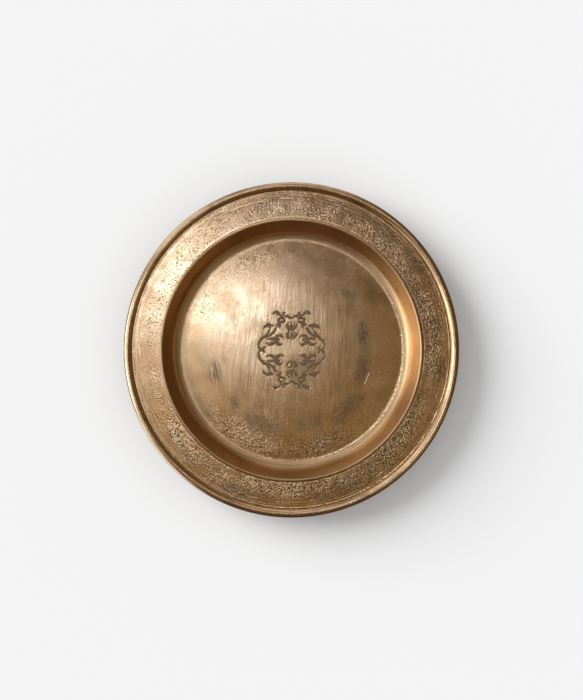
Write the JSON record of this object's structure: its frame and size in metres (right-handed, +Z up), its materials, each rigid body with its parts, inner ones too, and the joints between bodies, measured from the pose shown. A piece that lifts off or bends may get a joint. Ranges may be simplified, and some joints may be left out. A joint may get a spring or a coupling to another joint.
{
  "type": "paten plate",
  "caption": "Round cast brass paten plate with a deep well, a flat pebbled flange, a smooth half-round rim wire and an engraved, dark-filled scroll cartouche in the middle.",
  "frame": {"origin": "middle of the ring-shaped resting face under the well, at the plane the plate stands on", "axes": "+Z up along the axis of the dish, +Y towards the top of the engraved cartouche, +X to its right"},
  "size_m": [0.2032, 0.2032, 0.0203],
  "materials": {
    "cast_brass": "sand-cast pebbled surface, rubbed bright, with dark patina in the hollows",
    "rim_brass": "smooth satin drawn wire, slightly tarnished",
    "dark_inlay": "dull dark brown-black filling, slightly sunk"
  },
  "bodies": {
    "root": {"dish": "cast_brass", "rim_wire": "rim_brass", "inlay_ball_bottom_left": "dark_inlay", "inlay_ball_bottom_right": "dark_inlay", "inlay_ball_top_left": "dark_inlay", "inlay_ball_top_right": "dark_inlay", "inlay_bracket_left": "dark_inlay", "inlay_bracket_right": "dark_inlay", "inlay_bud_bottom_left": "dark_inlay", "inlay_bud_bottom_right": "dark_inlay", "inlay_bud_top_left": "dark_inlay", "inlay_bud_top_right": "dark_inlay", "inlay_corner_leaf_bottom_left": "dark_inlay", "inlay_corner_leaf_bottom_right": "dark_inlay", "inlay_corner_leaf_top_left": "dark_inlay", "inlay_corner_leaf_top_right": "dark_inlay", "inlay_crest_bottom": "dark_inlay", "inlay_crest_top": "dark_inlay", "inlay_curl_leaf_bottom_left": "dark_inlay", "inlay_curl_leaf_bottom_right": "dark_inlay", "inlay_curl_leaf_top_left": "dark_inlay", "inlay_curl_leaf_top_right": "dark_inlay", "inlay_inner_leaf_bottom_left": "dark_inlay", "inlay_inner_leaf_bottom_right": "dark_inlay", "inlay_inner_leaf_top_left": "dark_inlay", "inlay_inner_leaf_top_right": "dark_inlay", "inlay_palmette_bottom": "dark_inlay", "inlay_palmette_top": "dark_inlay"}
  },
  "joints": []
}
